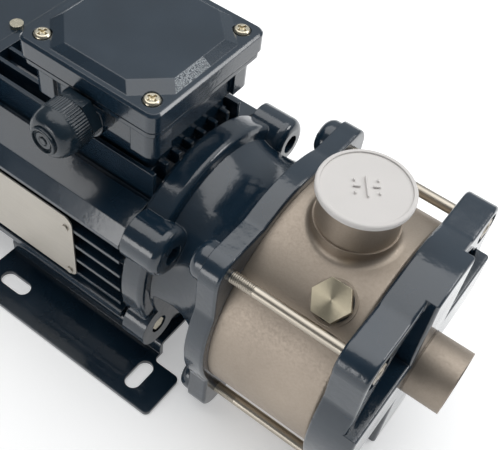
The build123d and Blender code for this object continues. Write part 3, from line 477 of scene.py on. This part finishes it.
def cap_marks():
    """Plain moulded grip marks on the cap's top: a bar, two side ticks and four dots."""
    low, high = [Vector(corner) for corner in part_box("discharge_cap")]
    bars = [((0, 0), 12.0, 0), ((0, 4.3), 3.4, 90), ((0, -4.3), 3.4, 90)]
    bars += [((along, across), 1.6, 0) for along in (3.6, -3.6) for across in (5.2, -5.2)]
    mesh = bmesh.new()
    for (along, across), length, turn in bars:
        start = len(mesh.verts)
        for level, inset in ((-0.2, 0), (MARK_HEIGHT * 0.6, 0.05), (MARK_HEIGHT, 0.22)):
            for k in range(2 * END_STEPS + 2):
                end = 1 if k <= END_STEPS else -1
                angle = math.radians(-90 + 180 * (k % (END_STEPS + 1)) / END_STEPS)
                radius = MARK_WIDTH / 2 - inset
                x = end * ((length - MARK_WIDTH) / 2 + radius * math.cos(angle))
                y = end * radius * math.sin(angle)
                spot = Matrix.Rotation(math.radians(turn), 2) @ Vector((x, y)) + Vector((along, across))
                spot = Matrix.Rotation(MARK_TURN, 2) @ spot
                mesh.verts.new(((low.x + high.x) / 2 + spot.x * MM, (low.y + high.y) / 2 + spot.y * MM,
                                high.z + level * MM))
        mesh.verts.ensure_lookup_table()
        loop = 2 * END_STEPS + 2
        rows = [[mesh.verts[start + r * loop + k] for k in range(loop)] for r in range(3)]
        for below, above in zip(rows, rows[1:]):
            for k in range(loop):
                n = (k + 1) % loop
                mesh.faces.new((below[k], below[n], above[n], above[k]))
        mesh.faces.new(rows[0][::-1])
        mesh.faces.new(rows[2])
    bmesh.ops.recalc_face_normals(mesh, faces=mesh.faces)
    fit(add_piece("cap_grip_marks", mesh), "cap_plastic", "discharge_cap")


threaded_rods()
lid_screw_heads()
gland_dome()
cap_marks()

# ---------------------------------------------------------------- studio

def area_light(name, place, target, size, power, colour=(1, 0.99, 0.98)):
    data = bpy.data.lights.new(name, "AREA")
    data.shape = "RECTANGLE"
    data.size, data.size_y = size
    data.energy = power
    data.color = colour
    light = bpy.data.objects.new(name, data)
    bpy.context.scene.collection.objects.link(light)
    light.location = place
    direction = Vector(target) - Vector(place)
    light.rotation_euler = direction.to_track_quat("-Z", "Y").to_euler()
    return light


def studio():
    world = bpy.data.worlds.new("studio")
    bpy.context.scene.world = world
    world.use_nodes = True
    tree, links = world.node_tree.nodes, world.node_tree.links
    shade = tree["Background"]
    path = tree.new("ShaderNodeLightPath")
    coordinates = tree.new("ShaderNodeTexCoord")
    lean = vector_node(tree, links, "DOT_PRODUCT", coordinates.outputs["Generated"], Vector((0, 0.6, 0.8)))
    sky = ramp(tree, links, lean, [(0.0, grey(0.14)), (0.4, grey(0.22)), (0.95, grey(0.66))])
    seen = math_node(tree, links, "MAXIMUM", sky.outputs["Color"], path.outputs["Is Camera Ray"])
    tone = tree.new("ShaderNodeMix")
    tone.data_type = "RGBA"
    tone.inputs["A"].default_value = (0.93, 0.97, 1.0, 1)
    tone.inputs["B"].default_value = (1, 1, 1, 1)
    links.new(path.outputs["Is Camera Ray"], tone.inputs["Factor"])
    links.new(tone.outputs["Result"], shade.inputs["Color"])
    links.new(seen, shade.inputs["Strength"])
    target = (0, 0, SHAFT_HEIGHT)
    area_light("key", (-0.1, 0.2, 1.2), target, (1.8, 1.1), 10.5)
    area_light("side", (-0.25, -1.0, 0.2), target, (0.5, 0.3), 2.0)
    area_light("far", (0.75, 0.6, 0.7), target, (0.4, 0.3), 2.5)
    bpy.context.scene.view_settings.view_transform = "Standard"


def floor():
    mesh = bpy.data.meshes.new("floor")
    half = 4.0
    corners = [(-half, -half, 0), (half, -half, 0), (half, half, 0), (-half, half, 0)]
    mesh.from_pydata(corners, [], [(0, 1, 2, 3)])
    obj = bpy.data.objects.new("floor", mesh)
    bpy.context.scene.collection.objects.link(obj)
    obj.location.z = cad_box[0][2] - 0.0002
    material, tree, links, shader = new_material("pale_floor")
    set_sockets(shader, Base_Color=(0.9, 0.9, 0.9, 1), Roughness=0.8, Emission_Strength=0.35)
    shader.inputs["Emission Color"].default_value = (1, 1, 1, 1)
    dress(obj, material)


def camera():
    """The main view: azimuth, elevation and roll in degrees, place in millimetres."""
    azimuth, elevation, roll = map(math.radians, (29.50, 50.69, 8.78))
    back = Vector((math.sin(azimuth) * math.cos(elevation), -math.cos(azimuth) * math.cos(elevation),
                   math.sin(elevation)))
    level = Vector((0, 0, 1)).cross(back).normalized()
    right = level * math.cos(roll) + back.cross(level) * math.sin(roll)
    up = back.cross(right)
    data = bpy.data.cameras.new("camera")
    data.lens = 60.88
    data.sensor_width = 36.0
    obj = bpy.data.objects.new("camera", data)
    bpy.context.scene.collection.objects.link(obj)
    turn = Matrix((right, up, back)).transposed().to_4x4()
    obj.matrix_world = Matrix.Translation(Vector((148.6, -232.6, 409.6)) * MM) @ turn
    bpy.context.scene.camera = obj


studio()
floor()
camera()
